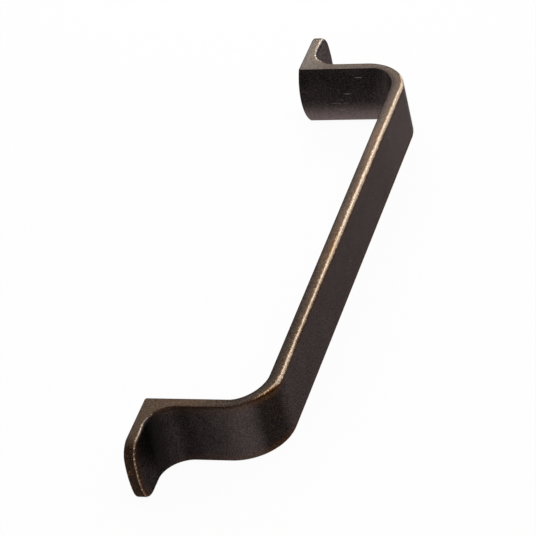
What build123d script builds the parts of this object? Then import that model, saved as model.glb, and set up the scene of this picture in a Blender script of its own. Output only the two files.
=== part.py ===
"""Cast cabinet pull: a flat strap grip on two legs, each ending in a foot that lies on the door.

Millimetres, +Z up. X runs along the pull, the door's face is the plane Y = 0 and the grip
stands out from it towards -Y. The origin is midway between the two screw holes.
"""
import os

from build123d import *

# Overall sizes
hole_spacing = 128.0          # centre to centre of the two screw holes
projection = 29.35            # door face to the front of the grip
width = 15.4                  # across the strap, the same from foot to foot

# Grip and legs
grip_thickness = 3.05
leg_edge_thickness = 2.8      # leg wall at its narrow sides
leg_crown = 3.35              # how far the leg's inner face bows out past those edges
hole_setback = 3.15           # screw axis behind the leg's flat outer face
outer_bend_radius = 11.9      # leg to grip, on the front
finger_bend_radius = 7.1      # leg to grip, on the finger side

# Feet
foot_thickness = 2.75
foot_reach = 13.65            # leg's outer face to the corner of the foot's end
foot_bow = 1.4                # how far the foot's end bows out past its corners
foot_corner_radius = 4.3
foot_bend_radius = 6.6        # leg to foot, on the front

# Softened edges of the casting
front_edge_radius = 0.82      # round the whole front, where the finish rubs through
heel_radius = 0.5             # leg's inner face to the door face
back_edge_radius = 0.25       # sides of the finger space and the rim of each foot

# Blind screw holes, for M4 machine screws
tap_drill_radius = 1.65
hole_depth = 12.0             # door face to the shoulder of the drill point
drill_point_depth = 1.0
mouth_chamfer = 0.4

# How far a cutting shape runs past what it cuts
overcut = 1.0


def bow_radius(half_chord, rise):
    """Radius of an arc that rises this far over a chord of twice this half length."""
    return (half_chord**2 + rise**2) / (2 * rise)


def lies_on(solid, tolerance=0.01):
    """A test for edges whose middle touches this solid."""
    return lambda edge: solid.distance_to(edge.position_at(0.5)) < tolerance


# Places along X, from the middle of the pull outwards
half_width = width / 2
leg_face = hole_spacing / 2 + hole_setback
finger_half_length = leg_face - leg_edge_thickness
foot_corner = leg_face + foot_reach
foot_end = foot_corner + foot_bow
finger_depth = projection - grip_thickness

# Each leg's inner face is part of the wall of a round bar that stands on the door
leg_bow_radius = bow_radius(half_width, leg_crown)
leg_bow_centre = finger_half_length - leg_crown + leg_bow_radius

# Space for the fingers: its ends are hollow where the legs bow into it, and the rounding
# of its front corners carries each bow out into the back of the grip
with BuildPart() as finger_space:
    with BuildSketch(Plane.XZ):
        Rectangle(2 * leg_bow_centre, width + 2 * overcut)
        with Locations((-leg_bow_centre, 0), (leg_bow_centre, 0)):
            Circle(leg_bow_radius, mode=Mode.SUBTRACT)
    extrude(amount=finger_depth)
    front_bows = finger_space.faces().sort_by(Axis.Y)[0].edges().filter_by(GeomType.CIRCLE)
    fillet(front_bows, radius=finger_bend_radius)
    # The space runs out past the door face, so that it opens cleanly
    extrude(finger_space.faces().sort_by(Axis.Y)[-1], amount=overcut)

# Drilled and chamfered hole, its mouth at the origin and its point towards +Z
with BuildPart() as screw_hole:
    with BuildSketch(Plane.XZ):
        with BuildLine():
            Polyline(
                (0, -overcut),
                (tap_drill_radius + mouth_chamfer + overcut, -overcut),
                (tap_drill_radius, mouth_chamfer),
                (tap_drill_radius, hole_depth),
                (0, hole_depth + drill_point_depth),
                close=True,
            )
        make_face()
    revolve(axis=Axis.Z)

with BuildPart() as pull_handle:
    # The strap seen from its narrow side, filled in behind, and carried across the width
    with BuildSketch(Plane.XY.offset(-half_width)):
        with BuildLine():
            front = FilletPolyline(
                (-foot_end, -foot_thickness),
                (-leg_face, -foot_thickness),
                (-leg_face, -projection),
                (leg_face, -projection),
                (leg_face, -foot_thickness),
                (foot_end, -foot_thickness),
                radius=[foot_bend_radius, outer_bend_radius, outer_bend_radius, foot_bend_radius],
            )
            Polyline(front @ 1, (foot_end, 0), (-foot_end, 0), front @ 0)
        make_face()
    extrude(amount=width)

    # The strap seen from the door: straight sides and a bowed end with round corners
    with BuildSketch(Plane.XZ) as door_outline:
        with BuildLine():
            right_end = ThreePointArc(
                (foot_corner, -half_width), (foot_end, 0), (foot_corner, half_width)
            )
            left_end = mirror(right_end, about=Plane.YZ)
            Line((-foot_corner, half_width), (foot_corner, half_width))
            Line((-foot_corner, -half_width), (foot_corner, -half_width))
        make_face()
        fillet(door_outline.vertices(), radius=foot_corner_radius)
    extrude(amount=projection, mode=Mode.INTERSECT)

    # Every edge of the front is rounded, but not the seams that run across the strap
    front_border = (
        pull_handle.edges()
        .filter_by(lambda edge: edge.bounding_box().max.Y < -foot_thickness / 2)
        .filter_by(Axis.Z, reverse=True)
    )
    fillet(front_border, radius=front_edge_radius)

    add(finger_space.part, mode=Mode.SUBTRACT)
    heels = pull_handle.edges(Select.LAST).filter_by(GeomType.CIRCLE).group_by(Axis.Y)[-1]
    fillet(heels, radius=heel_radius)

    # The two sides of the finger space; their rounding runs on over the heels and round
    # the rim of each foot, because the heels leave no corner on the way
    finger_border = pull_handle.edges().filter_by(lies_on(finger_space.part)).filter_by(Plane.XY)
    fillet(finger_border, radius=back_edge_radius)

    # The screws come through the door and into the thick middle of each leg
    with Locations(Plane(origin=(0, 0, 0), x_dir=(1, 0, 0), z_dir=(0, -1, 0))):
        with GridLocations(hole_spacing, width, 2, 1):
            add(screw_hole.part, mode=Mode.SUBTRACT)

pull_handle.part.label = "pull_handle"

os.makedirs("parts", exist_ok=True)
export_step(pull_handle.part, "parts/pull_handle.step")
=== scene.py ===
"""An antique bronze cabinet pull, lying on its narrow side on a white studio floor.

The classes hold lengths in millimetres, as the part's source does, and turn them to metres
where a mesh, a lamp or the camera is made. X runs along the pull, the door's face is the
plane Y = 0, the grip stands out from it towards -Y, and +Z is up.
"""

import logging
import math
from dataclasses import dataclass, field
from enum import Enum

import bpy
import numpy as np
from mathutils import Matrix, Vector

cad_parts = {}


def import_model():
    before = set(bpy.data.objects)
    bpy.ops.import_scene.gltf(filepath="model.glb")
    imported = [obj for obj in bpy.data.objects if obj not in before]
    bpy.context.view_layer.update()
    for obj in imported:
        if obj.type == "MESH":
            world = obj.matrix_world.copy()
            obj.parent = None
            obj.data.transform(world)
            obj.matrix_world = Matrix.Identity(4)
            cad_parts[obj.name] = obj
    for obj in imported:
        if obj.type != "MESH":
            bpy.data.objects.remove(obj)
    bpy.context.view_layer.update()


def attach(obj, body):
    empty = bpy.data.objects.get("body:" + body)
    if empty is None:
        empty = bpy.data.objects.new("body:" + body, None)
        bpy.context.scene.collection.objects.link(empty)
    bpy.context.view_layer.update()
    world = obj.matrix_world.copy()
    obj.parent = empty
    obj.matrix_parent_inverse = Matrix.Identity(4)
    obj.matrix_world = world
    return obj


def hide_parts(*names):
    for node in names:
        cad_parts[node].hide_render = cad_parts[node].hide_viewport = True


log = logging.getLogger("cabinet_pull")

MM = 0.001
# The EDGE mark of every point on the back faces, more than any distance on the narrow sides
ON_BACK = 9.0
# Marks the walls of the screw holes, by face and not by point, so that it ends at the rim
TAPPED = "tapped"


class Mark(Enum):
    """Values that the casting carries at each point, for the finish to read.

    EDGE is the distance from the middle of the rounded front edge in millimetres, below zero
    on the front face. The others are the amounts that Wear describes.
    """

    EDGE = "edge_mm"
    RUB = "rub"
    # How thick the black is, and with it painted shade and painted reflections
    SOOT = "soot"
    WARMTH = "warmth"
    RUST = "rust"


def linear(hex_colour: str) -> tuple[float, float, float, float]:
    """Turns an sRGB colour into the linear colour that the shaders take.

    Args:
        hex_colour: the colour as six hexadecimal digits, such as "8a5b2f".

    Returns:
        Red, green, blue and an alpha of 1.
    """
    parts = np.array([int(hex_colour[i : i + 2], 16) for i in (0, 2, 4)]) / 255
    bright = ((parts + 0.055) / 1.055) ** 2.4
    red, green, blue = np.where(parts <= 0.04045, parts / 12.92, bright)
    return float(red), float(green), float(blue), 1.0


def add_node(
    tree: bpy.types.NodeTree, kind: str, inputs: dict | None = None, stops: list | None = None, **settings
) -> bpy.types.bpy_prop_collection:
    """Adds one node with its settings, values and links.

    Args:
        tree: the node tree that takes the node.
        kind: the node's type name.
        inputs: from an input's name or number to a value, or to an output to link.
        stops: a colour ramp's places from 0 to 1, each with its linear colour.
        settings: the node's own properties.

    Returns:
        The new node's outputs.
    """
    node = tree.nodes.new(kind)
    for number, (at, colour) in enumerate(stops or []):
        ramp = node.color_ramp.elements
        stop = ramp[number] if number < 2 else ramp.new(at)
        stop.position = at
        stop.color = colour
    for name, value in settings.items():
        setattr(node, name, value)
    for socket, value in (inputs or {}).items():
        if isinstance(value, bpy.types.NodeSocket):
            tree.links.new(value, node.inputs[socket])
        else:
            node.inputs[socket].default_value = value
    return node.outputs


def bow_radius(half_chord: float, rise: float) -> float:
    """Radius of an arc that rises this far over a chord of twice this half length."""
    return (half_chord**2 + rise**2) / (2 * rise)


def smooth_step(values: np.ndarray, start: float, end: float) -> np.ndarray:
    """From 0 at the start to 1 at the end, as 3 t squared less 2 t cubed."""
    t = np.clip((values - start) / (end - start), 0, 1)
    return t * t * (3 - 2 * t)


@dataclass(frozen=True)
class PullSizes:
    """The casting's sizes in millimetres, the same as in the part's source."""

    hole_spacing: float = 128.0
    projection: float = 29.35
    width: float = 15.4
    grip_thickness: float = 3.05
    leg_edge_thickness: float = 2.8
    leg_crown: float = 3.35
    hole_setback: float = 3.15
    outer_bend_radius: float = 11.9
    finger_bend_radius: float = 7.1
    foot_thickness: float = 2.75
    foot_reach: float = 13.65
    foot_bow: float = 1.4
    foot_corner_radius: float = 4.3
    foot_bend_radius: float = 6.6
    front_edge_radius: float = 0.82
    heel_radius: float = 0.5
    back_edge_radius: float = 0.25
    tap_drill_radius: float = 1.65
    hole_depth: float = 12.0
    drill_point_depth: float = 1.0
    mouth_chamfer: float = 0.4

    @property
    def half_width(self) -> float:
        """From the middle of the strap to its narrow side."""
        return self.width / 2

    @property
    def leg_face(self) -> float:
        """X of the right leg's flat outer face."""
        return self.hole_spacing / 2 + self.hole_setback

    @property
    def finger_depth(self) -> float:
        """From the door face to the back of the grip."""
        return self.projection - self.grip_thickness

    @property
    def bow(self) -> float:
        """Radius of the right leg's crowned inner face."""
        return bow_radius(self.half_width, self.leg_crown)

    @property
    def bow_centre(self) -> float:
        """X of the axis, parallel to Y, about which the right leg's inner face is crowned."""
        return self.leg_face - self.leg_edge_thickness - self.leg_crown + self.bow

    @property
    def grip_bend_centre(self) -> tuple[float, float]:
        """X and Y of the axis about which the front of the right grip bend turns."""
        return self.leg_face - self.outer_bend_radius, -self.projection + self.outer_bend_radius

    @property
    def foot_bend_centre(self) -> tuple[float, float]:
        """X and Y of the axis about which the front of the right foot's bend turns."""
        return self.leg_face + self.foot_bend_radius, -self.foot_thickness - self.foot_bend_radius

    @property
    def foot_end(self) -> float:
        """X of the outermost point of the right foot."""
        return self.leg_face + self.foot_reach + self.foot_bow


@dataclass
class Columns:
    """Columns of the casting's grid, from the middle of the grip to the middle of a foot's end.

    Each array has one value a column. A column starts on the strap's middle line at the
    front, crosses the rounded edge and the narrow side, and ends on the middle line at the
    back. The front's border is at front_x, front_y and edge_z. The out fields are the
    outward directions of the front and of the side, and lean and face_door those of the
    back: how far it faces along X, and how far it faces the door.
    The back face at a distance z from the middle line is at
    x = middle_x + gain * (bow_centre - sqrt(back_rho ** 2 - z ** 2)), y = back_y,
    which is a circle round the axis of the leg's crown where gain is 1. Where gain is 0 it
    runs straight from middle_x to the border.
    The last field is the distance along the strap from the middle of the grip.
    """

    front_x: np.ndarray
    front_y: np.ndarray
    front_out_x: np.ndarray
    front_out_y: np.ndarray
    side_out_x: np.ndarray
    side_out_z: np.ndarray
    edge_z: np.ndarray
    middle_x: np.ndarray
    gain: np.ndarray
    back_rho: np.ndarray
    back_y: np.ndarray
    lean: np.ndarray
    face_door: np.ndarray
    run: np.ndarray

    @classmethod
    def stretch(cls, steps: np.ndarray, **given) -> "Columns":
        """Makes one stretch of columns.

        Args:
            steps: the places of the columns along the stretch, from 0 to 1.
            given: each field's value, one for all the columns or one for each. A side that
                faces straight up and a middle at x = 0 can be left out.

        Returns:
            The stretch, with every field as long as the steps.
        """
        values = dict(side_out_x=0.0, side_out_z=1.0, middle_x=0.0) | given
        return cls(**{name: np.zeros(len(steps)) + value for name, value in values.items()})

    @classmethod
    def joined(cls, stretches: list["Columns"]) -> "Columns":
        """Puts stretches end to end."""
        names = list(cls.__dataclass_fields__)
        return cls(**{n: np.concatenate([getattr(s, n) for s in stretches]) for n in names})


Curve = tuple[tuple[float, float], ...]


def along(curve: Curve, place: np.ndarray) -> np.ndarray:
    """Reads a curve of wear at places along the strap."""
    places, amounts = zip(*curve)
    return np.interp(place, places, amounts)


@dataclass(frozen=True)
class Wear:
    """How the finish has worn along the strap, with light and shade painted into it, as pairs of a
    place and an amount.

    Most of the amounts were worked out from colours measured in the photograph, so they are the
    wear of that one pull, with its light and shade painted into the soot amounts, and no general
    rule.

    A place is the distance in millimetres along the strap's front from the middle of the
    grip, with the left half below zero. The bends lie 55 to 74 from the middle, the legs
    reach to 82, the feet's bends to 92 and the feet to 96, and then comes the round end.

    Rub is how far the edge is bared, and drift how far the bared line strays towards the
    narrow side in millimetres. Soot is how thick the black is, with painted shade and painted
    reflections in it: on the front it is darker on the left foot and leg, where the pull shades
    and darkly reflects itself, banded along the left bend, and lighter towards the right end of
    the grip; on the narrow sides it carries painted shade and highlights along the strap; behind
    the right grip bend it is lighter in a painted reflection. Warmth is how much brown shows
    through, and rust the brown of the left foot's end. Low on the back faces a painted reflection
    of the floor lightens the black from one distance below the middle line to the other. The
    narrow sides are darker away from the front edge by the dull amount: it comes in between the
    distances across, and ends between the distances along, which count from the middle of the
    grip.
    """

    rub: Curve = (
        (-106, 0.4), (-98, 0.42), (-96.5, 0.6), (-93.5, 0.6), (-90.5, 0.52), (-87.5, 0.25),
        (-84.5, 0.05), (-82, -0.05), (-69, -0.05), (-66.5, 0.25), (-63.5, 0.52), (-60.5, 0.7),
        (-57.5, 0.96), (-50, 0.9), (-43, 0.82), (-27, 0.82), (-10, 0.95), (10, 1.0), (57, 1.02),
        (60, 0.95), (63, 0.4), (66, 0.15), (84, 0.1), (87, 0.5), (90, 0.55), (93, 0.64),
        (96, 0.74), (106, 0.7),
    )
    drift: Curve = (
        (-95, 0.0), (-93.5, 0.08), (-90.5, 0.35), (-87.5, 0.45), (-84.5, 0.15), (-82, -0.08),
        (-69, -0.08), (-66.5, 0.1), (-63.5, 0.2), (-60.5, 0.05), (-57.5, -0.12), (-50, -0.03),
        (-43, 0.06), (-25, 0.05), (-15, 0.0), (35, 0.0), (47, -0.15), (53, -0.12), (59, -0.28),
        (64, -0.15), (70, 0.0), (84, 0.0), (88, 0.35), (91, 0.1), (94, 0.0), (96, -0.08),
    )
    # The front's black with painted light and shade: darker on the left foot and leg, where the pull
    # shades and darkly reflects itself, banded with painted reflections along the left bend, lighter
    # towards the right end of the grip
    front_soot_and_shading: Curve = (
        (-99, 0.985), (-95, 0.985), (-93, 1.02), (-91, 1.06), (-89, 1.04), (-87, 0.96), (-85, 0.93),
        (-83, 1.02), (-81, 0.98), (-79, 0.94), (-77, 0.92), (-75, 0.88), (-73, 0.84), (-71, 0.78),
        (-69, 0.71), (-67, 0.77), (-65, 0.95), (-63, 1.1), (-61, 1.08), (-59, 0.95), (-57, 0.82),
        (-55, 0.805), (-50, 0.81), (-10, 0.8), (10, 0.76), (30, 0.72), (45, 0.63), (60, 0.6),
        (85, 0.54), (100, 0.66),
    )
    front_warmth: Curve = (
        (-98, 0.5), (-96, 0.1), (-90, 0.0), (-86, 0.3), (-74, 0.4), (-70, 0.5), (-66, 0.85),
        (-60, 1.0), (-56, 0.7), (-50, 0.5), (-30, 0.35), (-10, 0.7), (30, 0.8), (50, 0.4),
        (57, 0.25), (61, 0.0),
    )
    # The narrow sides' black, with painted shade and painted highlights along the strap in it
    side_soot_and_shading: Curve = (
        (-106, 1.0), (-100, 0.8), (-97, 0.6), (-94, 0.15), (-91, 0.06), (-86, 0.02), (-80.5, 0.0),
        (-78, 0.2), (-75.5, 0.42), (-72, 0.6), (-65, 0.68), (-60, 0.62), (-55, 0.7), (-40, 0.73),
        (-30, 0.66), (-20, 0.62), (-13.5, 0.4), (-8, 0.46), (-3, 0.44), (1.5, 0.34), (7, 0.45),
        (12, 0.5), (17, 0.52), (22, 0.42), (27, 0.32), (32, 0.2), (36, 0.1), (41, 0.25), (48, 0.44),
        (65, 0.52), (75, 0.56), (83, 0.5), (90, 0.0), (106, 0.0),
    )
    side_warmth: Curve = (
        (-106, 0.5), (-96, 0.8), (-90, 0.8), (-80, 1.0), (-76, 0.75), (-72, 0.5), (-65, 0.3),
        (-50, 0.4), (-30, 0.5), (-20, 0.8), (-10, 1.0), (0, 0.75), (10, 0.5), (30, 0.6), (36, 0.8),
        (41, 0.35), (50, 0.15), (65, 0.25), (80, 0.2), (88, 0.0),
    )
    # The back faces' black, lighter about 60 in a painted reflection behind the right grip bend
    back_soot_and_shading: Curve = (
        (-58, 0.8), (-50, 0.87), (50, 0.87), (56, 0.7), (60, 0.56), (64, 0.7), (68, 0.86), (74, 0.97),
    )
    rust: Curve = ((-98.8, 1.0), (-96.5, 0.0))
    # Heights between which a painted reflection of the floor lightens the back faces' black towards the
    # bottom
    floor_reflection_from: float = -0.8
    floor_reflection_to: float = 7.7
    dull_amount: float = 0.5
    dull_across: tuple[float, float] = (1.4, 2.7)
    dull_along: tuple[float, float] = (66.0, 77.0)


@dataclass
class Casting:
    """The whole pull as one closed surface, worked out from the part's own sizes."""

    sizes: PullSizes = field(default_factory=PullSizes)
    wear: Wear = field(default_factory=Wear)
    step: float = 0.5
    heel_columns: int = 6
    fan_inset: float = 2.2
    rows_across: int = 13
    rows_round_edge: int = 9
    rows_down_side: int = 6
    rows_round_back: int = 4
    support: float = 0.05
    side_supports: tuple[float, float] = (0.02, 0.97)
    side_from: float = 0.3
    sharp_angle: float = 35.0

    def steps(self, length: float, last: bool = False) -> np.ndarray:
        """Even places from 0 to 1 along a stretch of this length, with or without the last."""
        count = max(3, round(length / self.step))
        return np.linspace(0, 1, count + 1)[: None if last else -1]

    def columns(self) -> Columns:
        """Works out the columns of one quarter of the pull.

        The front line is straight runs joined by quarter arcs, x and y being the arc's
        centre plus its radius times the sine and cosine of the angle. The back line has the
        same number of columns.

        Returns:
            The columns, from x = 0 to the middle of the foot's end.
        """
        upper, leg_end = self.grip_and_leg()
        bend, bend_end = self.foot_bend(leg_end)
        return Columns.joined([*upper, *bend, *self.foot(bend_end)])

    def grip_and_leg(self) -> tuple[list[Columns], float]:
        """Works out the columns of the grip, its bend and the leg.

        Behind the grip the flat back's columns curve more and more, up to the circles of the
        leg's crown. Behind the bend lies the quarter round of the finger bend, and behind the
        leg's flat face its crowned one.

        Returns:
            The three stretches, and the distance along the strap where they end.
        """
        s = self.sizes
        half, bow = s.half_width, s.bow
        bend_x, bend_y = s.grip_bend_centre
        foot_y = s.foot_bend_centre[1]
        finger_y = -s.finger_depth + s.finger_bend_radius

        t = self.steps(bend_x)
        grip = Columns.stretch(
            t, front_x=bend_x * t, front_y=-s.projection, front_out_x=0.0, front_out_y=-1.0,
            edge_z=half, gain=t, back_rho=bow + s.finger_bend_radius, back_y=-s.finger_depth,
            lean=0.0, face_door=1.0, run=bend_x * t,
        )

        run, bend_length = bend_x, math.pi / 2 * s.outer_bend_radius
        t = self.steps(bend_length)
        turn = math.pi / 2 * t
        rest = math.pi / 2 - turn
        bend = Columns.stretch(
            t, front_x=bend_x + s.outer_bend_radius * np.sin(turn),
            front_y=bend_y - s.outer_bend_radius * np.cos(turn),
            front_out_x=np.sin(turn), front_out_y=-np.cos(turn), edge_z=half, gain=1.0,
            back_rho=bow + s.finger_bend_radius * (1 - np.cos(rest)),
            back_y=finger_y - s.finger_bend_radius * np.sin(rest),
            lean=np.cos(rest), face_door=np.sin(rest), run=run + bend_length * t,
        )

        run, leg_length = run + bend_length, foot_y - bend_y
        t = self.steps(leg_length)
        leg = Columns.stretch(
            t, front_x=s.leg_face, front_y=bend_y + (foot_y - bend_y) * t, front_out_x=1.0,
            front_out_y=0.0, edge_z=half, gain=1.0, back_rho=bow,
            back_y=finger_y + (foot_y - finger_y) * t, lean=1.0, face_door=0.0,
            run=run + leg_length * t,
        )
        return [grip, bend, leg], run + leg_length

    def foot_bend(self, start: float) -> tuple[list[Columns], float]:
        """Works out the columns of the foot's bend.

        Behind the bend lie the lower end of the leg's crowned face, the small round of the
        heel, and the foot's flat back, whose columns straighten towards the foot.

        Args:
            start: the distance along the strap where the bend begins.

        Returns:
            The three stretches, and the distance along the strap where they end.
        """
        s = self.sizes
        bow = s.bow
        foot_x, foot_y = s.foot_bend_centre
        # The heel takes a few degrees in the middle of the bend, as it is short
        heel_from, heel_to = math.radians(40), math.radians(50)

        def front(turn: np.ndarray) -> dict[str, np.ndarray]:
            """The front's fields at these angles of the bend."""
            return dict(
                front_x=foot_x - s.foot_bend_radius * np.cos(turn),
                front_y=foot_y + s.foot_bend_radius * np.sin(turn),
                front_out_x=np.cos(turn), front_out_y=-np.sin(turn), edge_z=s.half_width,
                run=start + s.foot_bend_radius * turn,
            )

        t = self.steps(s.foot_bend_radius)
        above_heel = Columns.stretch(
            t, **front(heel_from * t), gain=1.0, back_rho=bow,
            back_y=foot_y - (foot_y + s.heel_radius) * t, lean=1.0, face_door=0.0,
        )
        t = self.steps(self.heel_columns * self.step)
        turn = math.pi / 2 * t
        heel = Columns.stretch(
            t, **front(heel_from + (heel_to - heel_from) * t), gain=1.0,
            back_rho=bow - s.heel_radius + s.heel_radius * np.cos(turn),
            back_y=-s.heel_radius + s.heel_radius * np.sin(turn),
            lean=np.cos(turn), face_door=np.sin(turn),
        )
        t = self.steps(s.foot_bend_radius)
        below_heel = Columns.stretch(
            t, **front(heel_to + (math.pi / 2 - heel_to) * t), middle_x=foot_x * t, gain=1 - t,
            back_rho=bow - s.heel_radius, back_y=0.0, lean=0.0, face_door=1.0,
        )
        return [above_heel, heel, below_heel], start + math.pi / 2 * s.foot_bend_radius

    def foot(self, start: float) -> list[Columns]:
        """Works out the columns of the foot's flat part.

        Seen from the door, its end is an arc about a point of the middle line, and its
        corner is a smaller arc that touches that one and the straight side. Round both the
        columns fan out from one point of the middle line.

        Args:
            start: the distance along the strap where the flat part begins.

        Returns:
            The straight side's stretch, the corner's and that of half of the end.
        """
        s = self.sizes
        half = s.half_width
        foot_x = s.foot_bend_centre[0]
        fan_x = foot_x + self.fan_inset
        end_radius = bow_radius(half, s.foot_bow)
        end_x = s.foot_end - end_radius
        corner_z = half - s.foot_corner_radius
        corner_x = end_x + math.sqrt((end_radius - s.foot_corner_radius) ** 2 - corner_z**2)
        join = math.atan2(corner_z, corner_x - end_x)
        flat = dict(
            front_y=-s.foot_thickness, front_out_x=0.0, front_out_y=-1.0, gain=0.0,
            back_rho=s.bow, back_y=0.0, lean=0.0, face_door=1.0,
        )

        run, length = start, corner_x - foot_x
        t = self.steps(length)
        line = foot_x + length * t
        side = Columns.stretch(
            t, **flat, front_x=line, edge_z=half, middle_x=np.minimum(line, fan_x),
            run=run + length * t,
        )

        run, corner_length = run + length, s.foot_corner_radius * (math.pi / 2 - join)
        t = self.steps(2 * s.foot_corner_radius)
        turn = math.pi / 2 + (join - math.pi / 2) * t
        corner = Columns.stretch(
            t, **flat, front_x=corner_x + s.foot_corner_radius * np.cos(turn),
            edge_z=corner_z + s.foot_corner_radius * np.sin(turn),
            side_out_x=np.cos(turn), side_out_z=np.sin(turn), middle_x=fan_x,
            run=run + corner_length * t,
        )

        run += corner_length
        t = self.steps(end_radius * join, last=True)
        turn = join * (1 - t)
        end = Columns.stretch(
            t, **flat, front_x=end_x + end_radius * np.cos(turn), edge_z=end_radius * np.sin(turn),
            side_out_x=np.cos(turn), side_out_z=np.sin(turn), middle_x=fan_x,
            run=run + end_radius * join * t,
        )
        return [side, corner, end]

    def quarter(self, c: Columns) -> tuple[np.ndarray, np.ndarray]:
        """Works out one quarter of the surface, x and z both positive.

        The front face is the line from the middle to the border, set in by the edge's
        radius. The front edge is a quarter circle between the front's and the side's
        outward directions. The side is the straight line on to the back edge, which is an
        arc between the side's and the back's outward directions, and the back face follows
        the formula of the columns to the middle line again.

        Args:
            c: the quarter's columns.

        Returns:
            The points, rows by columns by 3, and each point's distance from the middle of
            the rounded front edge, below zero on the front face.
        """
        s = self.sizes
        zero = np.zeros_like(c.front_x)
        out_front = np.stack([c.front_out_x, c.front_out_y, zero], axis=1)
        out_side = np.stack([c.side_out_x, zero, c.side_out_z], axis=1)
        across = np.append(np.linspace(0, 1 - self.support, self.rows_across), 1.0)
        half_arc = math.pi / 4 * s.front_edge_radius

        border = np.stack([c.front_x, c.front_y, c.edge_z], axis=1)
        core = border - s.front_edge_radius * (out_front + out_side)
        on_foot = (c.middle_x > 0) & (c.gain == 0)
        middle = np.stack([np.where(on_foot, c.middle_x, c.front_x), c.front_y, zero], axis=1)
        inset = core + s.front_edge_radius * out_front
        front = middle + across[:-1, None, None] * (inset - middle)
        front_away = -half_arc - np.linalg.norm(inset - front, axis=2)

        turn = np.linspace(0, math.pi / 2, self.rows_round_edge)[:, None, None]
        edge = core + s.front_edge_radius * (np.cos(turn) * out_front + np.sin(turn) * out_side)
        edge_away = np.linspace(-half_arc, half_arc, self.rows_round_edge)[:, None] + zero

        # The back edge's circle touches the side and the back, whatever the angle between them
        lean_cos = np.sqrt(1 - (c.edge_z / c.back_rho) ** 2)
        out_back = np.stack(
            [-c.lean * lean_cos, c.face_door, c.lean * c.edge_z / c.back_rho], axis=1
        )
        round_x = s.bow_centre - np.sqrt(c.back_rho**2 - c.edge_z**2)
        back_x = np.where(c.gain > 0, c.middle_x + c.gain * round_x, c.front_x)
        back_border = np.stack([back_x, c.back_y, c.edge_z], axis=1)
        facing = (out_side * out_back).sum(axis=1, keepdims=True)
        back_core = back_border - s.back_edge_radius * (out_side + out_back) / (1 + facing)
        angle = np.arccos(facing)
        share = np.linspace(0, 1, self.rows_round_back)[:, None, None]
        side_part = np.sin((1 - share) * angle) * out_side
        back_part = np.sin(share * angle) * out_back
        back_edge = back_core + s.back_edge_radius * ((side_part + back_part) / np.sin(angle))

        down = np.linspace(0, 1, self.rows_down_side + 1)[1:-1]
        near_edge, near_back = self.side_supports
        down = np.concatenate([[near_edge], down, [near_back]])[:, None, None]
        side = edge[-1] + down * (back_edge[0] - edge[-1])
        side_away = half_arc + np.linalg.norm(side - edge[-1], axis=2)

        inner = across[-2::-1, None]
        back_z = inner * back_edge[-1, :, 2]
        flat_x = c.middle_x + inner * (back_edge[-1, :, 0] - c.middle_x)
        curved_x = c.middle_x + c.gain * (s.bow_centre - np.sqrt(c.back_rho**2 - back_z**2))
        back_x = np.where(c.gain > 0, curved_x, flat_x)
        back = np.stack([back_x, np.broadcast_to(c.back_y, back_z.shape), back_z], axis=2)

        points = np.concatenate([front, edge, side, back_edge, back])
        # The door's face stays a plane where the heel's round and the back edge meet
        points[..., 1] = np.minimum(points[..., 1], 0.0)
        far = np.full((len(back_edge) + len(back), len(zero)), ON_BACK)
        return points, np.concatenate([front_away, edge_away, side_away, far])

    def marks(self, place: np.ndarray, away: np.ndarray, z: np.ndarray) -> np.ndarray:
        """Works out the marks of a quarter's points, in the order of Mark.

        Args:
            place: each column's signed distance along the strap.
            away: each point's distance from the middle of the rounded edge.
            z: the points' heights.

        Returns:
            The marks, rows by columns by 5.
        """
        wear = self.wear
        on_back = away == ON_BACK
        away = np.where(on_back, away, away - along(wear.drift, place))
        on_side = away > self.side_from
        # The side's far half is darker along the grip and bends
        dull_from, dull_to = wear.dull_along
        dull = wear.dull_amount * smooth_step(away, *wear.dull_across)
        dull = dull * smooth_step(-np.abs(place), -dull_to, -dull_from)
        # The soot amounts along the strap paint shade and reflections as well as the black
        side_soot_and_shading = np.minimum(along(wear.side_soot_and_shading, place) + dull, 1)
        soot = np.where(on_side, side_soot_and_shading, along(wear.front_soot_and_shading, place))
        warmth = np.where(on_side, along(wear.side_warmth, place), along(wear.front_warmth, place))
        layers = [
            away,
            along(wear.rub, place),
            np.where(on_back, self.back_soot_and_shading(place, z), soot),
            np.where(on_back, 0.0, warmth),
            along(wear.rust, place),
        ]
        return np.stack([np.broadcast_to(layer, away.shape) for layer in layers], axis=2)

    def back_soot_and_shading(self, place: np.ndarray, z: np.ndarray) -> np.ndarray:
        """How thick the black is on the back faces, with a painted reflection that lightens it behind the
        right grip bend and a painted reflection of the floor that lightens it low down.
        """
        painted_floor_reflection = smooth_step(-z, self.wear.floor_reflection_from, self.wear.floor_reflection_to)
        return along(self.wear.back_soot_and_shading, place) * (1 - painted_floor_reflection)

    def build(self) -> bpy.types.Object:
        """Mirrors the quarter to the whole pull, welds its middle lines and makes the mesh.

        Returns:
            The casting, drilled.
        """
        c = self.columns()
        points, away = self.quarter(c)
        quarters, values = [], []
        for flip_x, flip_z in ((1, 1), (1, -1), (-1, -1), (-1, 1)):
            turned = points * np.array([flip_x, 1, flip_z])
            worn = self.marks(flip_x * c.run, away, turned[..., 2])
            backwards = flip_x * flip_z < 0
            # Neighbouring quarters share their border column, so each leaves out its last
            quarters.append((turned[:, ::-1] if backwards else turned)[:, :-1])
            values.append((worn[:, ::-1] if backwards else worn)[:, :-1])
        grid = np.concatenate(quarters, axis=1)
        blank = closed_mesh("pull_casting", grid, np.concatenate(values, axis=1))
        holes = [ScrewHole(self.sizes, side * self.sizes.hole_spacing / 2) for side in (-1, 1)]
        return self.drilled(blank, holes)

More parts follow.
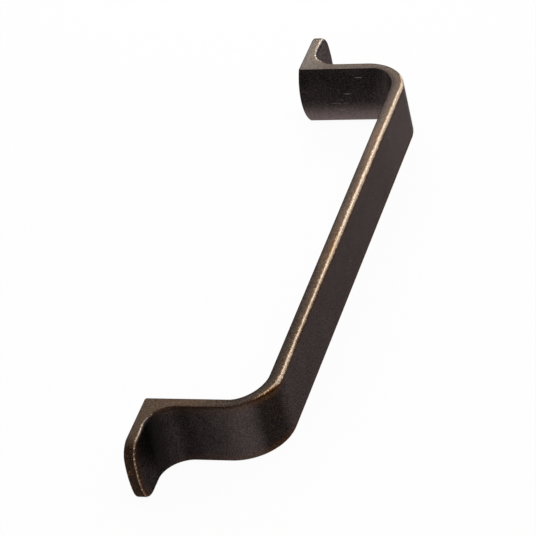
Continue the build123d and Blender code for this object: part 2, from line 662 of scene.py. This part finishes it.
    def drilled(self, blank: bpy.types.Object, holes: list["ScrewHole"]) -> bpy.types.Object:
        """Cuts the screw holes and marks their walls as tapped.

        Args:
            blank: the casting without holes.
            holes: the holes to cut.

        Returns:
            The casting, its holes part of its own mesh.
        """
        cutters = [hole.build() for hole in holes]
        for cutter in cutters:
            cut = blank.modifiers.new(cutter.name, "BOOLEAN")
            cut.object = cutter
            cut.operation = "DIFFERENCE"
            cut.solver = "EXACT"
        bpy.context.view_layer.update()
        graph = bpy.context.evaluated_depsgraph_get()
        mesh = bpy.data.meshes.new_from_object(blank.evaluated_get(graph))
        blank.modifiers.clear()
        blank.data, solid = mesh, blank.data
        mesh.name = blank.name
        bpy.data.meshes.remove(solid)
        for cutter in cutters:
            bpy.data.meshes.remove(cutter.data)

        # The rim's points belong to the walls and to the back face, so all carry its marks
        points = places_of(mesh.vertices, "co")
        inside = np.any([hole.holds(points) for hole in holes], axis=0)
        legs = np.full(inside.sum(), self.sizes.leg_face)
        walls = {
            Mark.EDGE: ON_BACK,
            Mark.RUB: 0.0,
            Mark.SOOT: self.back_soot_and_shading(legs, points[inside, 2]),
            Mark.WARMTH: 0.0,
        }
        for mark, wall in walls.items():
            layer = mesh.attributes[mark.value].data
            values = np.empty(len(layer), dtype=np.float32)
            layer.foreach_get("value", values)
            values[inside] = wall
            layer.foreach_set("value", values)
        centres = places_of(mesh.polygons, "center")
        off_door = centres[:, 1] < -MM
        walls = np.any([hole.holds(centres) for hole in holes], axis=0) & off_door
        tapped = mesh.attributes.new(TAPPED, "FLOAT", "FACE")
        tapped.data.foreach_set("value", walls.astype(np.float32))
        mesh.set_sharp_from_angle(angle=math.radians(self.sharp_angle))
        return blank


@dataclass
class ScrewHole:
    """The space of one blind screw hole with its M4 thread, as a closed cutter."""

    sizes: PullSizes
    middle_x: float
    pitch: float = 0.7
    root_radius: float = 2.0
    thread_end: float = 10.6
    overcut: float = 1.0
    margin: float = 0.2
    rows_a_turn: int = 8
    columns: int = 40

    def build(self) -> bpy.types.Object:
        """Makes the cutter.

        At the angle a and the depth d the thread's radius is that of the tap drill plus the
        thread's height times a triangle wave of d / pitch - a / 2 pi, which fades out at the
        thread's end. The chamfer's cone is wider at the mouth, and the drill's point closes
        the bottom.

        Returns:
            The cutter, which runs out past the door's face.
        """
        s = self.sizes
        turns = np.arange(0, self.thread_end + self.pitch, self.pitch / self.rows_a_turn)
        outside = [-self.overcut, -self.overcut, -s.mouth_chamfer]
        bottom = [s.hole_depth, s.hole_depth + s.drill_point_depth]
        depth = np.concatenate([outside, turns, bottom])[:, None]
        angle = np.linspace(0, 2 * math.pi, self.columns, endpoint=False)[None, :]
        wave = 1 - np.abs(2 * ((depth / self.pitch - angle / (2 * math.pi)) % 1) - 1)
        fade = smooth_step(-depth, -self.thread_end, self.pitch - self.thread_end) * (depth >= 0)
        thread = s.tap_drill_radius + (self.root_radius - s.tap_drill_radius) * wave * fade
        radius = np.maximum(thread, s.tap_drill_radius + s.mouth_chamfer - depth)
        radius[0] = 0.0
        radius[-1] = 0.0
        x = self.middle_x + radius * np.cos(angle)
        grid = np.stack([x, np.broadcast_to(-depth, x.shape), radius * np.sin(angle)], axis=2)
        side = "left" if self.middle_x < 0 else "right"
        return closed_mesh(f"{side}_screw_hole", grid, np.zeros((*x.shape, len(Mark))))

    def holds(self, points: np.ndarray) -> np.ndarray:
        """Tells which points lie in the hole or on its rim.

        They are nearer to its axis than the thread's root, and above its point, with a
        margin on both.

        Args:
            points: the points in millimetres, one row each.

        Returns:
            Whether each is in the hole.
        """
        x, y, z = points.T
        bottom = -self.sizes.hole_depth - self.sizes.drill_point_depth - self.margin
        return (np.hypot(x - self.middle_x, z) < self.root_radius + self.margin) & (y > bottom)


def places_of(parts: bpy.types.bpy_prop_collection, name: str) -> np.ndarray:
    """Reads where a mesh's vertices or faces lie.

    Args:
        parts: the vertices or the faces.
        name: the property with their places in metres.

    Returns:
        The places in millimetres, one row each.
    """
    flat = np.empty(len(parts) * 3)
    parts.foreach_get(name, flat)
    return flat.reshape(-1, 3) / MM


def closed_mesh(name: str, grid: np.ndarray, marks: np.ndarray) -> bpy.types.Object:
    """Closes a grid round its columns, welds points that coincide and makes a mesh object.

    Points coincide where they agree to a hundred thousandth of a millimetre.

    Args:
        name: the object's name.
        grid: the points in millimetres, rows by columns by 3.
        marks: their marks, in the order of Mark.

    Returns:
        The object, at the origin, its points in metres and its faces outwards.
    """
    rows, columns, _ = grid.shape
    here = np.arange(rows * columns).reshape(rows, columns)
    right = np.roll(here, -1, axis=1)
    quads = np.stack([here[:-1], right[:-1], right[1:], here[1:]], axis=2).reshape(-1, 4)
    points, marks = grid.reshape(-1, 3), marks.reshape(rows * columns, -1)
    _, first, weld = np.unique(np.round(points, 5), axis=0, return_index=True, return_inverse=True)
    points, marks = points[first], marks[first]
    faces = weld.reshape(-1)[quads]
    repeats = faces == np.roll(faces, -1, axis=1)
    whole = faces[~repeats.any(axis=1)]
    pinched = repeats.sum(axis=1) == 1
    corners = faces[pinched][~repeats[pinched]].reshape(-1, 3)
    # The signed volume is a sixth of the sum of a dot (b cross c) over the triangles
    split = np.concatenate([whole[:, [0, 1, 2]], whole[:, [0, 2, 3]], corners])
    a, b, c = (points[split[:, i]] for i in range(3))
    if (a * np.cross(b, c)).sum() < 0:
        whole, corners = whole[:, ::-1], corners[:, ::-1]
    mesh = bpy.data.meshes.new(name)
    mesh.from_pydata((points * MM).tolist(), [], whole.tolist() + corners.tolist())
    for column, mark in enumerate(Mark):
        layer = mesh.attributes.new(mark.value, "FLOAT", "POINT")
        layer.data.foreach_set("value", np.ascontiguousarray(marks[:, column], dtype=np.float32))
    mesh.polygons.foreach_set("use_smooth", np.ones(len(mesh.polygons), dtype=bool))
    mesh.validate()
    mesh.update()
    made = bpy.data.objects.new(name, mesh)
    bpy.context.scene.collection.objects.link(made)
    return made


# A colour of a layer: sRGB in hexadecimal, or what a node gives
Tone = str | bpy.types.NodeSocket


@dataclass
class Ground:
    """What the layers of a finish share.

    These are the node tree, the place in millimetres, the noises from 0 to 1, and the marks.
    The spots are the tops of the flecks, and are 0 between them.
    """

    tree: bpy.types.NodeTree
    place: bpy.types.NodeSocket
    grain: bpy.types.NodeSocket
    blotches: bpy.types.NodeSocket
    flecks: bpy.types.NodeSocket
    spots: bpy.types.NodeSocket
    marks: dict[Mark, bpy.types.NodeSocket]

    def layered(
        self, bottom: Tone, layers: list[tuple[bpy.types.NodeSocket, Tone]]
    ) -> bpy.types.NodeSocket:
        """Lays colours over each other, from the bottom one up.

        Args:
            bottom: the lowest colour.
            layers: each further colour, after the share in which it covers what is below.

        Returns:
            The colour that shows.
        """
        shown = bottom
        for share, over in layers:
            under, over = (linear(tone) if isinstance(tone, str) else tone for tone in (shown, over))
            shown = add_node(
                self.tree, "ShaderNodeMix", {"Factor": share, 6: under, 7: over}, data_type="RGBA"
            )[2]
        return shown


@dataclass(frozen=True)
class AntiqueBronze:
    """Antique bronze: brass plating on a zinc casting, blackened, then rubbed back and lacquered.

    To the eye it is a satin, almost black brown with the fine grain of the casting. The narrow
    sides were brushed to a lighter, mottled brown. Where the rubbing reached the front edges,
    the black thins through chocolate and copper to pale bare brass, which shows as one uneven
    bright line round the whole front. Brown shows through beside the edge, gold flecks in one
    grip bend and rust brown on a foot's end. The black has chipped in a few pinpricks, and the
    legs' inner faces carry a few fine scratches. The threads in the screw holes were cut after
    the plating, so they are bare grey zinc. Lengths are in millimetres.

    Cast grain is about 0.05 to 0.1 mm and would not show at this size, so it is drawn a few
    times as coarse, and its relief with it.
    """

    name: str = "antique_bronze_on_cast_zinc"
    black: str = "1e1a1a"
    thin_black_and_sheen: str = "726563"
    show_brown: str = "5c3d22"
    gold_fleck: str = "8a6a42"
    chocolate: str = "2e190a"
    umber: str = "5a4331"
    copper: str = "8a7059"
    worn_brass: str = "c4a488"
    bare_brass: str = "dfc3a4"
    bright_brass: str = "e8d3b9"
    neutral_side: str = "67605a"
    warm_side: str = "6f5b4c"
    sooty_and_shaded_side: str = "423934"
    edge_brown: str = "745b40"
    rust_dark: str = "261d17"
    rust_fleck: str = "6e4a33"
    pale_scratch: str = "8c837b"
    bare_zinc: str = "9a9996"
    grazing_dark: tuple[float, float, float, float] = (0.1, 0.09, 0.09, 1.0)
    grazing_light: tuple[float, float, float, float] = (0.94, 0.91, 0.91, 1.0)
    satin: float = 0.46
    polished: float = 0.4
    gloss_reach: float = 0.24
    grain_size: float = 0.26
    grain_reach: float = 0.26
    grain_depth: float = 0.55
    grain_height: float = 0.022
    blotch_size: float = 6.0
    blotch_reach: float = 0.16
    fleck_size: float = 0.3
    mottle_reach: float = 0.9
    edge_middle: float = 0.2
    fade: float = 0.9
    ragged_size: float = 0.8
    ragged_reach: float = 0.3
    spot_reach: float = 0.3
    brown_reach: float = 2.6
    rust_patches: float = 0.7
    rust_hidden: float = 0.35
    speck_spacing: float = 3.0
    speck_radius: float = 0.13
    speck_chance: float = 0.2
    scratch_spacing: tuple[float, float] = (1.2, 18.0)
    scratch_width: float = 0.07
    prick_amount: float = 0.1

    def material(self) -> bpy.types.Material:
        """Makes the finish.

        Returns:
            A material that reads the casting's marks.
        """
        made = bpy.data.materials.new(self.name)
        made.use_nodes = True
        tree = made.node_tree
        tree.nodes.clear()
        g = self.ground(tree)
        wear = self.wear(g)
        # The bared metal is a little smoother than the black, and the grain makes both uneven
        smooth = add_node(
            tree, "ShaderNodeMapRange",
            {
                "Value": wear, "From Min": 0.3, "From Max": 0.7, "To Min": self.satin,
                "To Max": self.polished,
            },
            interpolation_type="SMOOTHSTEP",
        )[0]
        uneven = add_node(
            tree, "ShaderNodeMath", {0: g.grain, 1: self.gloss_reach, 2: -self.gloss_reach / 2},
            operation="MULTIPLY_ADD",
        )[0]
        roughness = add_node(tree, "ShaderNodeMath", {0: smooth, 1: uneven}, operation="ADD")[0]
        relief = add_node(
            tree, "ShaderNodeBump",
            {"Height": g.grain, "Distance": self.grain_height * MM, "Strength": 1.0},
        )[0]
        # Lacquered black dulls the mirror that metal is at a grazing angle, most in its dark grains
        grazing = add_node(
            tree, "ShaderNodeMix", {"Factor": g.grain, 6: self.grazing_dark, 7: self.grazing_light},
            data_type="RGBA",
        )[2]
        shader = add_node(
            tree, "ShaderNodeBsdfPrincipled",
            {
                "Base Color": self.colour(g, wear), "Metallic": 1.0, "Roughness": roughness,
                "Specular Tint": grazing, "Normal": relief,
            },
        )[0]
        add_node(tree, "ShaderNodeOutputMaterial", {"Surface": shader})
        return made

    def ground(self, tree: bpy.types.NodeTree) -> Ground:
        """Adds the nodes that the layers share.

        Args:
            tree: the node tree that takes the nodes.

        Returns:
            The shared places, noises and marks.
        """
        metres = add_node(tree, "ShaderNodeTexCoord")["Object"]
        place = add_node(
            tree, "ShaderNodeMapping", {"Vector": metres, "Scale": (1 / MM, 1 / MM, 1 / MM)}
        )[0]
        grain, blotches, flecks = (
            add_node(
                tree, "ShaderNodeTexNoise",
                {"Vector": place, "Scale": 1 / size, "Detail": detail, "Roughness": 0.6},
            )[0]
            for size, detail in ((self.grain_size, 2.0), (self.blotch_size, 3.0), (self.fleck_size, 1.0))
        )
        spots = add_node(
            tree, "ShaderNodeMapRange", {"Value": flecks, "From Min": 0.58, "From Max": 0.68}
        )[0]
        marks = {
            mark: add_node(tree, "ShaderNodeAttribute", attribute_name=mark.value)["Fac"]
            for mark in Mark
        }
        return Ground(tree, place, grain, blotches, flecks, spots, marks)

    def wear(self, g: Ground) -> bpy.types.NodeSocket:
        """Works out how far the metal is bared: rub less the distance from the edge, made ragged.

        Args:
            g: what the layers share.

        Returns:
            The wear, from 0 for chocolate brown to 1 for bright brass.
        """
        ragged = add_node(
            g.tree, "ShaderNodeTexNoise",
            {"Vector": g.place, "Scale": 1 / self.ragged_size, "Detail": 4.0, "Roughness": 0.65},
        )[0]
        torn = add_node(
            g.tree, "ShaderNodeMath", {0: ragged, 1: 2 * self.ragged_reach, 2: -self.ragged_reach},
            operation="MULTIPLY_ADD",
        )[0]
        speckled = add_node(
            g.tree, "ShaderNodeMath", {0: g.spots, 1: self.spot_reach, 2: torn},
            operation="MULTIPLY_ADD",
        )[0]
        offset = add_node(
            g.tree, "ShaderNodeMath", {0: g.marks[Mark.EDGE], 1: self.edge_middle},
            operation="SUBTRACT",
        )[0]
        distance = add_node(g.tree, "ShaderNodeMath", {0: offset}, operation="ABSOLUTE")[0]
        faded = add_node(
            g.tree, "ShaderNodeMath", {0: distance, 1: -1 / self.fade, 2: g.marks[Mark.RUB]},
            operation="MULTIPLY_ADD",
        )[0]
        return add_node(g.tree, "ShaderNodeMath", {0: faded, 1: speckled}, operation="ADD")[0]

    def colour(self, g: Ground, wear: bpy.types.NodeSocket) -> bpy.types.NodeSocket:
        """Lays the colours over each other, from the front's to the bare zinc's, and grains them.

        Args:
            g: what the layers share.
            wear: how far the metal is bared.

        Returns:
            The colour.
        """
        rubbed = self.rubbed_metal(g, wear)
        # The side's colours start past the middle of the rounded edge and end at the back edge
        on_side = add_node(
            g.tree, "ShaderNodeMapRange",
            {"Value": g.marks[Mark.EDGE], "From Min": 0.32, "From Max": 0.47},
            interpolation_type="SMOOTHSTEP",
        )[0]
        before_back = add_node(
            g.tree, "ShaderNodeMapRange",
            {"Value": g.marks[Mark.EDGE], "From Min": ON_BACK, "From Max": ON_BACK - 1},
        )[0]
        side_share = add_node(
            g.tree, "ShaderNodeMath", {0: on_side, 1: before_back}, operation="MULTIPLY"
        )[0]
        tapped = add_node(g.tree, "ShaderNodeAttribute", attribute_name=TAPPED)["Fac"]
        layers = [
            (side_share, self.narrow_side(g, wear, rubbed)), (self.specks(g), self.worn_brass),
            (self.scratches(g), self.pale_scratch), (tapped, self.bare_zinc),
        ]
        laid = g.layered(self.front(g, wear, rubbed), layers)
        # The grain's noise keeps mostly between 0.3 and 0.7
        speckle = add_node(
            g.tree, "ShaderNodeMapRange",
            {
                "Value": g.grain, "From Min": 0.3, "From Max": 0.7, "To Min": 1 - self.grain_depth,
                "To Max": 1 + self.grain_depth,
            },
        )[0]
        return add_node(
            g.tree, "ShaderNodeVectorMath", {0: laid, "Scale": speckle}, operation="SCALE"
        )[0]

    def rubbed_metal(self, g: Ground, wear: bpy.types.NodeSocket) -> bpy.types.NodeSocket:
        """Colours the metal that the rubbing bared, from chocolate to bright brass.

        It is greyer on the feet than along the grip, and more golden in the left grip bend.
        The warmth mark tells the places apart.

        Args:
            g: what the layers share.
            wear: how far the metal is bared.

        Returns:
            The colour.
        """
        stops = [
            (0.0, self.chocolate), (0.3, self.umber), (0.45, self.copper), (0.6, self.worn_brass),
            (0.76, self.bare_brass), (1.0, self.bright_brass),
        ]
        bared = add_node(
            g.tree, "ShaderNodeValToRGB", {"Fac": wear},
            stops=[(at, linear(tone)) for at, tone in stops],
        )[0]
        on_strap = add_node(
            g.tree, "ShaderNodeMapRange",
            {"Value": g.marks[Mark.WARMTH], "From Max": 0.2, "To Min": 0.4, "To Max": 0.86},
        )[0]
        in_bend = add_node(
            g.tree, "ShaderNodeMapRange",
            {"Value": g.marks[Mark.WARMTH], "From Min": 0.8, "From Max": 1.0, "To Max": 0.4},
        )[0]
        richness = add_node(g.tree, "ShaderNodeMath", {0: on_strap, 1: in_bend}, operation="ADD")[0]
        return add_node(g.tree, "ShaderNodeHueSaturation", {"Saturation": richness, "Color": bared})[0]

    def front(
        self, g: Ground, wear: bpy.types.NodeSocket, rubbed: bpy.types.NodeSocket
    ) -> bpy.types.NodeSocket:
        """Colours the front and back faces: black, what shows through it, and the worn edge.
        The black's thickness follows the soot amounts, which paint shade and reflections too.

        Args:
            g: what the layers share.
            wear: how far the metal is bared.
            rubbed: the worn metal's colour.

        Returns:
            The colour.
        """
        soot, warmth = g.marks[Mark.SOOT], g.marks[Mark.WARMTH]
        # The grain thins the black and the blotches thicken it, evenly about the soot mark, which paints
        # shade and reflections as well as the black
        even = add_node(
            g.tree, "ShaderNodeMath", {0: soot, 1: (self.grain_reach - self.blotch_reach) / 2},
            operation="ADD",
        )[0]
        grained = add_node(
            g.tree, "ShaderNodeMath", {0: g.grain, 1: -self.grain_reach, 2: even},
            operation="MULTIPLY_ADD",
        )[0]
        thick = add_node(
            g.tree, "ShaderNodeMath", {0: g.blotches, 1: self.blotch_reach, 2: grained},
            operation="MULTIPLY_ADD", use_clamp=True,
        )[0]
        # The brown shows through most beside the edge, broken up by the flecks
        beside = add_node(
            g.tree, "ShaderNodeMapRange",
            {
                "Value": g.marks[Mark.EDGE], "From Min": -self.brown_reach, "From Max": -0.6,
                "To Min": 0.015, "To Max": 0.35,
            },
            interpolation_type="SMOOTHSTEP",
        )[0]
        shown = add_node(g.tree, "ShaderNodeMath", {0: beside, 1: warmth}, operation="MULTIPLY")[0]
        broken = add_node(g.tree, "ShaderNodeMath", {0: g.flecks, 1: 2.0}, operation="MULTIPLY")[0]
        brown_share = add_node(
            g.tree, "ShaderNodeMath", {0: shown, 1: broken}, operation="MULTIPLY", use_clamp=True
        )[0]
        # The gold flecks show where the soot and warmth amounts are both high, which is in the left grip
        # bend
        warm_soot_and_shading = add_node(g.tree, "ShaderNodeMath", {0: soot, 1: warmth}, operation="MULTIPLY")[0]
        in_bend = add_node(
            g.tree, "ShaderNodeMapRange",
            {"Value": warm_soot_and_shading, "From Min": 0.8, "From Max": 0.97, "To Max": 0.16},
        )[0]
        gold_share = add_node(
            g.tree, "ShaderNodeMath", {0: g.spots, 1: in_bend}, operation="MULTIPLY"
        )[0]
        # The chocolate brown comes in over the black just before the metal is bared
        cover = add_node(
            g.tree, "ShaderNodeMapRange", {"Value": wear, "From Min": -0.4, "From Max": 0.0},
            interpolation_type="SMOOTHSTEP",
        )[0]
        layers = [
            (thick, self.black), (brown_share, self.show_brown), (gold_share, self.gold_fleck),
            (cover, rubbed),
        ]
        return g.layered(self.thin_black_and_sheen, layers)

    def narrow_side(
        self, g: Ground, wear: bpy.types.NodeSocket, rubbed: bpy.types.NodeSocket
    ) -> bpy.types.NodeSocket:
        """Colours the narrow sides: brushed brown, warm and then bare towards the edge, and rust.

        Args:
            g: what the layers share.
            wear: how far the metal is bared.
            rubbed: the worn metal's colour.

        Returns:
            The colour.
        """
        mottle = add_node(
            g.tree, "ShaderNodeMath", {0: g.flecks, 1: self.mottle_reach, 2: -self.mottle_reach / 2},
            operation="MULTIPLY_ADD",
        )[0]
        # The soot amount lays the sooty colour over the side, and paints shade and highlights along it as
        # well as the black
        mottled = add_node(
            g.tree, "ShaderNodeMath", {0: g.marks[Mark.SOOT], 1: mottle}, operation="ADD"
        )[0]
        # Within 1.6 mm of the edge the rubbing warmed the brown, fully from 0.6 mm on
        near_edge = add_node(
            g.tree, "ShaderNodeMapRange",
            {"Value": g.marks[Mark.EDGE], "From Min": 1.6, "From Max": 0.6, "To Max": 0.6},
            interpolation_type="SMOOTHSTEP",
        )[0]
        browned = add_node(
            g.tree, "ShaderNodeMath", {0: near_edge, 1: g.marks[Mark.RUB]}, operation="MULTIPLY"
        )[0]
        # The rust's flecks gather in patches, and get rarer on the round end, where the soot amount is
        # high
        patchy = add_node(
            g.tree, "ShaderNodeMath", {0: g.blotches, 1: self.rust_patches, 2: g.flecks},
            operation="MULTIPLY_ADD",
        )[0]
        drawn = add_node(
            g.tree, "ShaderNodeMath", {0: g.marks[Mark.SOOT], 1: -self.rust_hidden, 2: patchy},
            operation="MULTIPLY_ADD",
        )[0]
        fleck_share = add_node(
            g.tree, "ShaderNodeMapRange", {"Value": drawn, "From Min": 0.56, "From Max": 0.8}
        )[0]
        rust = g.layered(self.rust_dark, [(fleck_share, self.rust_fleck)])
        # Here the metal is bared at once, with no chocolate brown before it
        bared = add_node(
            g.tree, "ShaderNodeMapRange", {"Value": wear, "From Min": 0.25, "From Max": 0.55},
            interpolation_type="SMOOTHSTEP",
        )[0]
        layers = [
            (g.marks[Mark.WARMTH], self.warm_side), (mottled, self.sooty_and_shaded_side),
            (browned, self.edge_brown), (g.marks[Mark.RUST], rust), (bared, rubbed),
        ]
        return g.layered(self.neutral_side, layers)

    def specks(self, g: Ground) -> bpy.types.NodeSocket:
        """Draws sparse pinpricks where the black has chipped: round spots in a few cells.

        Args:
            g: what the layers share.

        Returns:
            1 on a speck, and else 0.
        """
        cells = add_node(
            g.tree, "ShaderNodeTexVoronoi", {"Vector": g.place, "Scale": 1 / self.speck_spacing}
        )
        spot = add_node(
            g.tree, "ShaderNodeMath",
            {0: cells["Distance"], 1: self.speck_radius / self.speck_spacing},
            operation="LESS_THAN",
        )[0]
        chance = add_node(g.tree, "ShaderNodeSeparateColor", {0: cells["Color"]})[0]
        chosen = add_node(
            g.tree, "ShaderNodeMath", {0: chance, 1: 1 - self.speck_chance}, operation="GREATER_THAN"
        )[0]
        return add_node(g.tree, "ShaderNodeMath", {0: spot, 1: chosen}, operation="MULTIPLY")[0]

    def scratches(self, g: Ground) -> bpy.types.NodeSocket:
        """Draws fine scratches and pinpricks on the back faces: long thin spots in a few cells.

        The cells are stretched along Y, so the scratches run along the legs.

        Args:
            g: what the layers share.

        Returns:
            How much of the scratches' colour shows.
        """
        across, lengthwise = self.scratch_spacing
        place = add_node(g.tree, "ShaderNodeSeparateXYZ", {0: g.place})
        flat = add_node(g.tree, "ShaderNodeCombineXYZ", {0: place["Y"], 1: place["Z"]})[0]
        stretched = add_node(
            g.tree, "ShaderNodeMapping", {"Vector": flat, "Scale": (1 / lengthwise, 1 / across, 1.0)}
        )[0]
        cells = add_node(
            g.tree, "ShaderNodeTexVoronoi", {"Vector": stretched, "Scale": 1.0},
            voronoi_dimensions="2D",
        )
        line = add_node(
            g.tree, "ShaderNodeMath", {0: cells["Distance"], 1: self.scratch_width / across},
            operation="LESS_THAN",
        )[0]
        # A third of the cells have no scratch, and few have a clear one
        chance = add_node(g.tree, "ShaderNodeSeparateColor", {0: cells["Color"]})[1]
        faint = add_node(
            g.tree, "ShaderNodeMapRange",
            {"Value": chance, "From Min": 0.35, "From Max": 0.95, "To Max": 0.7},
        )[0]
        drawn = add_node(g.tree, "ShaderNodeMath", {0: line, 1: faint}, operation="MULTIPLY")[0]
        pricked = add_node(
            g.tree, "ShaderNodeMath", {0: g.spots, 1: self.prick_amount, 2: drawn},
            operation="MULTIPLY_ADD",
        )[0]
        on_back = add_node(
            g.tree, "ShaderNodeMath", {0: g.marks[Mark.EDGE], 1: ON_BACK - 0.1},
            operation="GREATER_THAN",
        )[0]
        return add_node(g.tree, "ShaderNodeMath", {0: pricked, 1: on_back}, operation="MULTIPLY")[0]


@dataclass(frozen=True)
class PhotoCamera:
    """The photograph's camera, as solved from the pull's outline in it."""

    azimuth: float = -65.944
    elevation: float = 34.841
    roll: float = -14.237
    distance: float = 672.231
    aside: float = 8.024
    above: float = -4.601
    focal_pixels: float = 2852.896
    frame_pixels: float = 536.0

    def build(self) -> None:
        """Makes the camera and hands it to the scene."""
        turn, rise, roll = (math.radians(a) for a in (self.azimuth, self.elevation, self.roll))
        back = np.array(
            [math.sin(turn) * math.cos(rise), -math.cos(turn) * math.cos(rise), math.sin(rise)]
        )
        level = np.cross([0.0, 0.0, 1.0], back)
        level /= np.linalg.norm(level)
        upright = np.cross(back, level)
        right = level * math.cos(roll) + upright * math.sin(roll)
        up = -level * math.sin(roll) + upright * math.cos(roll)
        place = (back * self.distance + right * self.aside + up * self.above) * MM
        turned = Matrix(np.stack([right, up, back], axis=1)).to_4x4()
        data = bpy.data.cameras.new("photo_camera")
        data.lens = self.focal_pixels / self.frame_pixels * data.sensor_width
        data.clip_start = 0.01
        data.clip_end = 100.0
        camera = bpy.data.objects.new("photo_camera", data)
        camera.matrix_world = Matrix.Translation(place) @ turned
        bpy.context.scene.collection.objects.link(camera)
        bpy.context.scene.camera = camera


@dataclass(frozen=True)
class Softbox:
    """A square soft lamp that faces one point.

    Its strength is the brightness that a mirror would show: 1 is white.
    """

    name: str
    place: tuple[float, float, float]
    aim: tuple[float, float, float]
    side: float
    strength: float

    def build(self) -> None:
        """Makes the lamp. A flat lamp of brightness L and area A gives off pi * A * L watts."""
        lamp = bpy.data.lights.new(self.name, "AREA")
        lamp.shape = "SQUARE"
        lamp.size = self.side * MM
        lamp.energy = math.pi * (self.side * MM) ** 2 * self.strength
        holder = bpy.data.objects.new(self.name, lamp)
        back = Vector(self.place) - Vector(self.aim)
        turn = back.to_track_quat("Z", "Y").to_matrix().to_4x4()
        holder.matrix_world = Matrix.Translation(Vector(self.place) * MM) @ turn
        holder.visible_camera = False
        bpy.context.scene.collection.objects.link(holder)


@dataclass(frozen=True)
class Studio:
    """A white floor under an even sky, with softboxes."""

    floor_height: float = -7.7
    floor_radius: float = 6000.0
    floor_sides: int = 96
    floor_white: str = "fbfbf9"
    floor_lift: float = 0.95
    horizon: float = 1.0
    zenith: float = 0.6
    horizon_height: float = 0.35
    lamps: tuple[Softbox, ...] = (
        Softbox("far_softbox", (221.5, 50.0, 127.6), (64.0, -20.0, 7.7), 90.0, 4.0),
        Softbox("edge_softbox", (620.0, -200.0, 450.0), (0.0, 0.0, 0.0), 260.0, 2.4),
        Softbox("horizon_softbox", (820.0, -40.0, 90.0), (0.0, 0.0, 0.0), 200.0, 3.0),
        Softbox("overhead_softbox", (-150.0, -250.0, 900.0), (0.0, 0.0, 0.0), 700.0, 1.5),
    )

    def build(self) -> None:
        """Makes the floor, the sky and the lamps."""
        bpy.context.scene.view_settings.view_transform = "Standard"
        self.floor()
        self.sky()
        for lamp in self.lamps:
            lamp.build()

    def seen(self, tree: bpy.types.NodeTree) -> bpy.types.NodeSocket:
        """Tells rays that show the background to the camera, straight or in the metal.

        Args:
            tree: the floor's node tree.

        Returns:
            1 for such a ray, and else 0.
        """
        path = add_node(tree, "ShaderNodeLightPath")
        shown = add_node(
            tree, "ShaderNodeMath", {0: path["Is Camera Ray"], 1: path["Is Glossy Ray"]},
            operation="MAXIMUM",
        )[0]
        return add_node(
            tree, "ShaderNodeMath", {0: shown, 1: path["Is Transmission Ray"]}, operation="MAXIMUM"
        )[0]

    def floor(self) -> None:
        """Makes a round floor: matt white paint, lifted towards white where a ray sees it.

        The lift is part of the way only, so the object's shadow stays.
        """
        angle = np.linspace(0, 2 * math.pi, self.floor_sides, endpoint=False)
        height = np.full(self.floor_sides, self.floor_height)
        rim = np.stack(
            [self.floor_radius * np.cos(angle), self.floor_radius * np.sin(angle), height], axis=1
        )
        mesh = bpy.data.meshes.new("studio_floor")
        mesh.from_pydata((rim * MM).tolist(), [], [list(range(self.floor_sides))])
        plate = bpy.data.objects.new("studio_floor", mesh)
        bpy.context.scene.collection.objects.link(plate)
        paint = bpy.data.materials.new("matt_white_paint")
        paint.use_nodes = True
        tree = paint.node_tree
        tree.nodes.clear()
        matt = add_node(tree, "ShaderNodeBsdfDiffuse", {"Color": linear(self.floor_white)})[0]
        white = add_node(tree, "ShaderNodeEmission", {"Strength": 1.0})[0]
        share = add_node(
            tree, "ShaderNodeMath", {0: self.seen(tree), 1: self.floor_lift}, operation="MULTIPLY"
        )[0]
        mixed = add_node(tree, "ShaderNodeMixShader", {0: share, 1: matt, 2: white})[0]
        add_node(tree, "ShaderNodeOutputMaterial", {"Surface": mixed})
        mesh.materials.append(paint)

    def sky(self) -> None:
        """Makes the world: white walls at the horizon under a dimmer ceiling."""
        world = bpy.data.worlds.new("studio_sky")
        bpy.context.scene.world = world
        world.use_nodes = True
        tree = world.node_tree
        tree.nodes.clear()
        toward = add_node(tree, "ShaderNodeTexCoord")["Generated"]
        height = add_node(tree, "ShaderNodeSeparateXYZ", {0: toward})["Z"]
        strength = add_node(
            tree, "ShaderNodeMapRange",
            {
                "Value": height, "From Max": self.horizon_height, "To Min": self.horizon,
                "To Max": self.zenith,
            },
            interpolation_type="SMOOTHSTEP",
        )[0]
        light = add_node(tree, "ShaderNodeBackground", {"Strength": strength})[0]
        add_node(tree, "ShaderNodeOutputWorld", {"Surface": light})


def main() -> None:
    """Builds the pull on its frame, dresses it, and lights and frames the scene."""
    logging.basicConfig(level=logging.INFO, format="%(name)s: %(message)s")
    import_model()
    PhotoCamera().build()
    Studio().build()
    casting = Casting().build()
    casting.data.materials.append(AntiqueBronze().material())
    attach(casting, "root")
    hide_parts("pull_handle")
    log.info("casting: %d faces", len(casting.data.polygons))


if __name__ == "__main__":
    main()
